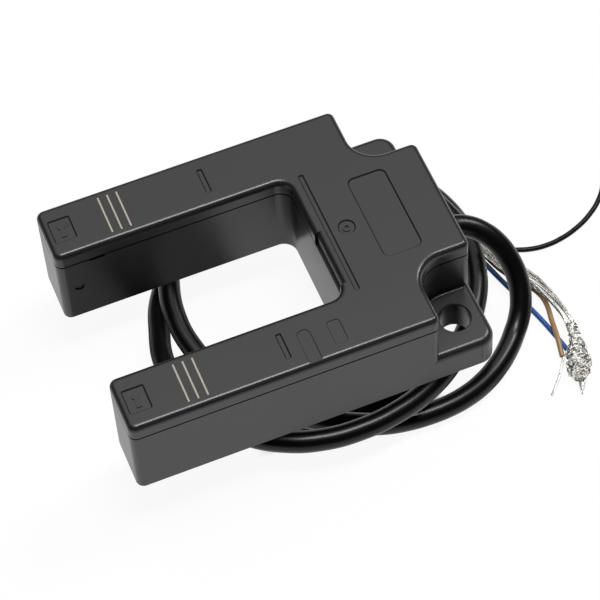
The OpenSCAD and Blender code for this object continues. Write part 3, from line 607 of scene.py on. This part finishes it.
class FORKSWITCH_OT_inside(bpy.types.Operator):
    """Gives the screws, the seals and everything inside the housing their finish"""

    bl_idname = "forkswitch.inside"
    bl_label = "Inside"

    def execute(self, context):
        finishes = [
            (metal("zinc_screw", (0.62, 0.62, 0.60), 0.32), ["housing_screws", "clamp_screws", "board_screws"]),
            (moulded("soft_rubber", (0.014, 0.014, 0.014), 0.7, 2500.0), ["cable_grommet", "cover_seal"]),
            (moulded("clamp_bar", (0.09, 0.09, 0.09), 0.5), ["cable_clamp"]),
            (moulded("solder_mask", (0.01, 0.12, 0.04), 0.3, coat=0.3), ["main_board", "sensor_board"]),
            (moulded("terminal_green", (0.02, 0.2, 0.07), 0.4), ["terminal_block"]),
            (moulded("chip_epoxy", (0.015, 0.015, 0.015), 0.45), ["output_transistor", "suppressor_diode"]),
            (moulded("capacitor_sleeve", (0.02, 0.04, 0.11), 0.25), ["smoothing_capacitor"]),
            (moulded("resistor_body", (0.4, 0.3, 0.16), 0.5), ["resistors"]),
            (moulded("ferrite", (0.06, 0.06, 0.065), 0.55, 1200.0, 0.3), ["bias_magnet"]),
            (metal("rolled_steel", (0.42, 0.42, 0.43), 0.4), ["yoke_plate"]),
            (moulded("holder_plastic", (0.62, 0.57, 0.46), 0.5), ["magnet_holder"]),
            (metal("blade_nickel", (0.6, 0.59, 0.55), 0.25), ["reed_blade_front", "reed_blade_rear"]),
            (metal("tinned_lead", (0.62, 0.6, 0.56), 0.35), ["sensor_leads", "lead_drain"]),
            (moulded("lead_brown", (0.2, 0.1, 0.04), 0.35), ["lead_brown"]),
            (moulded("lead_blue", (0.012, 0.07, 0.3), 0.35), ["lead_blue"]),
            (moulded("lead_black", (0.008, 0.008, 0.008), 0.35), ["lead_black"]),
        ]
        for material, names in finishes:
            for name in names:
                paint(NODES[name], material)
        capsule, shader = new_material("capsule_glass")
        shader.inputs["Base Color"].default_value = (0.8, 0.93, 0.86, 1)
        shader.inputs["Roughness"].default_value = 0.05
        shader.inputs["Transmission Weight"].default_value = 0.9
        paint(NODES["reed_glass"], capsule)
        return {"FINISHED"}


# ---------- stage


class FORKSWITCH_OT_stage(bpy.types.Operator):
    """Adds the white floor, the light and the view settings"""

    bl_idname = "forkswitch.stage"
    bl_label = "Stage"

    def execute(self, context):
        stage = context.scene.switch_stage
        lowest = min(z for *_, z in CABLE_ROUTE) - context.scene.switch_cable.sheath / MM / 2
        deselect()
        bpy.ops.mesh.primitive_plane_add(size=stage.floor_size, location=(0, -0.03, lowest * MM))
        floor = context.object
        floor.name = "floor"
        bpy.ops.object.mode_set(mode="EDIT")
        bpy.ops.mesh.select_all(action="SELECT")
        bpy.ops.mesh.subdivide(number_cuts=3)
        bpy.ops.object.mode_set(mode="OBJECT")
        paint(floor, self.paper(stage))

        world = bpy.data.worlds.new("studio")
        context.scene.world = world
        world.use_nodes = True
        self.sky(world.node_tree, stage)

        self.lamp("strip_light", (0.0, 0.06, 0.9), (0.0, -0.03, 0.0), stage.strip, 0.15, 0.36)
        self.lamp("side_light", (-0.14, 0.55, 0.72), (0.0, 0.0, 0.0), stage.side, 0.18, 0.18)
        context.scene.view_settings.view_transform = "Standard"
        return {"FINISHED"}

    def sky(self, tree, stage):
        """A soft box above and behind in a dark room; white where the camera looks past all."""
        shade = tree.nodes["Background"]
        shade.inputs["Color"].default_value = (1, 1, 1, 1)
        x, y, z = split(tree, tree.nodes.new("ShaderNodeTexCoord").outputs["Generated"])
        box = area(tree, (z, BOX_Z), (x, BOX_X), (number(tree, "ABSOLUTE", y), BOX_Y))
        path = tree.nodes.new("ShaderNodeLightPath").outputs
        level = tree.nodes.new("ShaderNodeMix")
        feed(tree, path["Is Camera Ray"], level.inputs["Factor"])
        feed(tree, ramp(tree, box, 0.0, 1.0, stage.horizon, stage.sky), level.inputs["A"])
        feed(tree, 1.0, level.inputs["B"])
        feed(tree, level.outputs["Result"], shade.inputs["Strength"])

    def paper(self, stage):
        """White paper that stays white in the picture. It has a painted shadow under the near arm and painted
        shade in reflections, and elsewhere it keeps the switch's own shadows faintly.
        """
        material = bpy.data.materials.new("white_floor")
        material.use_nodes = True
        tree = material.node_tree
        tree.nodes.clear()
        x, y, _ = split(tree, tree.nodes.new("ShaderNodeTexCoord").outputs["Object"])
        path = tree.nodes.new("ShaderNodeLightPath").outputs

        # the painted deep shadow under the near arm, for every ray: it darkens the paper's colour and takes away
        # its glow
        wider = ramp(tree, y, *WIDER_Y, smooth=True)
        edge = number(tree, "MULTIPLY_ADD", wider, -SHADOW_WIDER, x)
        under = area(tree, (edge, SHADOW_EDGE), (x, SHADOW_X), *((y, border) for border in SHADOW_Y))

        # between the arms and below the hole the floor is painted darker in reflections only: painted shade
        slot = area(tree, (number(tree, "ABSOLUTE", x), SLOT_X), *((y, border) for border in SLOT_Y))
        hole = area(tree, *((x, border) for border in HOLE_X), *((y, border) for border in HOLE_Y))
        painted_reflection_shade = number(tree, "MAXIMUM", slot, hole)
        in_gloss = number(tree, "MULTIPLY", painted_reflection_shade, path["Is Glossy Ray"])
        dark = number(tree, "MULTIPLY_ADD", in_gloss, MIRRORED_SHADE, under, clamp=True)

        matt = tree.nodes.new("ShaderNodeBsdfDiffuse")
        feed(tree, ramp(tree, dark, 0.0, 1.0, PAPER_COLOUR, SHADOW_COLOUR), matt.inputs["Color"])
        glow = tree.nodes.new("ShaderNodeEmission")
        glow.inputs["Color"].default_value = (1, 1, 1, 1)
        glow.inputs["Strength"].default_value = 1.0

        # how far the paper shows plain white: to the camera and through glass, and in reflections
        seen = number(tree, "MAXIMUM", path["Is Camera Ray"], path["Is Transmission Ray"])
        white = number(tree, "MULTIPLY", seen, ramp(tree, under, 0.0, 1.0, PAPER_GLOW, 0.0))
        # the painted shade in reflections also takes away the paper's white glow there
        gloss = ramp(tree, painted_reflection_shade, 0.0, 1.0, stage.gloss, 0.0)
        share = number(tree, "MULTIPLY_ADD", path["Is Glossy Ray"], gloss, white, clamp=True)
        mix = tree.nodes.new("ShaderNodeMixShader")
        feed(tree, share, mix.inputs["Fac"])
        feed(tree, matt.outputs[0], mix.inputs[1])
        feed(tree, glow.outputs[0], mix.inputs[2])
        out = tree.nodes.new("ShaderNodeOutputMaterial")
        feed(tree, mix.outputs[0], out.inputs["Surface"])
        return material

    def lamp(self, name, place, aim, power, wide, deep):
        data = bpy.data.lights.new(name, "AREA")
        data.shape = "RECTANGLE"
        data.size = wide
        data.size_y = deep
        data.energy = power
        lamp = bpy.data.objects.new(name, data)
        bpy.context.collection.objects.link(lamp)
        away = Vector(place) - Vector(aim)
        lamp.matrix_world = Matrix.Translation(place) @ away.to_track_quat("Z", "Y").to_matrix().to_4x4()


class FORKSWITCH_PT_panel(bpy.types.Panel):
    """Lists the steps and their settings"""

    bl_label = "Fork switch"
    bl_idname = "FORKSWITCH_PT_panel"
    bl_space_type = "VIEW_3D"
    bl_region_type = "UI"
    bl_category = "Fork switch"

    def draw(self, context):
        for step in STEPS:
            self.layout.operator(step)
        for settings in (context.scene.switch_housing, context.scene.switch_cable, context.scene.switch_stage):
            box = self.layout.box()
            for name in settings.__annotations__:
                box.prop(settings, name)


STEPS = ["forkswitch.camera", "forkswitch.cable", "forkswitch.housing", "forkswitch.inside", "forkswitch.stage"]
CLASSES = [
    SwitchHousing, SwitchCable, SwitchStage, FORKSWITCH_OT_camera, FORKSWITCH_OT_cable, FORKSWITCH_OT_housing,
    FORKSWITCH_OT_inside, FORKSWITCH_OT_stage, FORKSWITCH_PT_panel,
]


def register():
    for made in CLASSES:
        bpy.utils.register_class(made)
    bpy.types.Scene.switch_housing = PointerProperty(type=SwitchHousing)
    bpy.types.Scene.switch_cable = PointerProperty(type=SwitchCable)
    bpy.types.Scene.switch_stage = PointerProperty(type=SwitchStage)


def unregister():
    for name in ("switch_housing", "switch_cable", "switch_stage"):
        delattr(bpy.types.Scene, name)
    for made in reversed(CLASSES):
        bpy.utils.unregister_class(made)


def main():
    register()
    for step in STEPS:
        group, name = step.split(".")
        getattr(getattr(bpy.ops, group), name)()


if __name__ == "__main__":
    main()
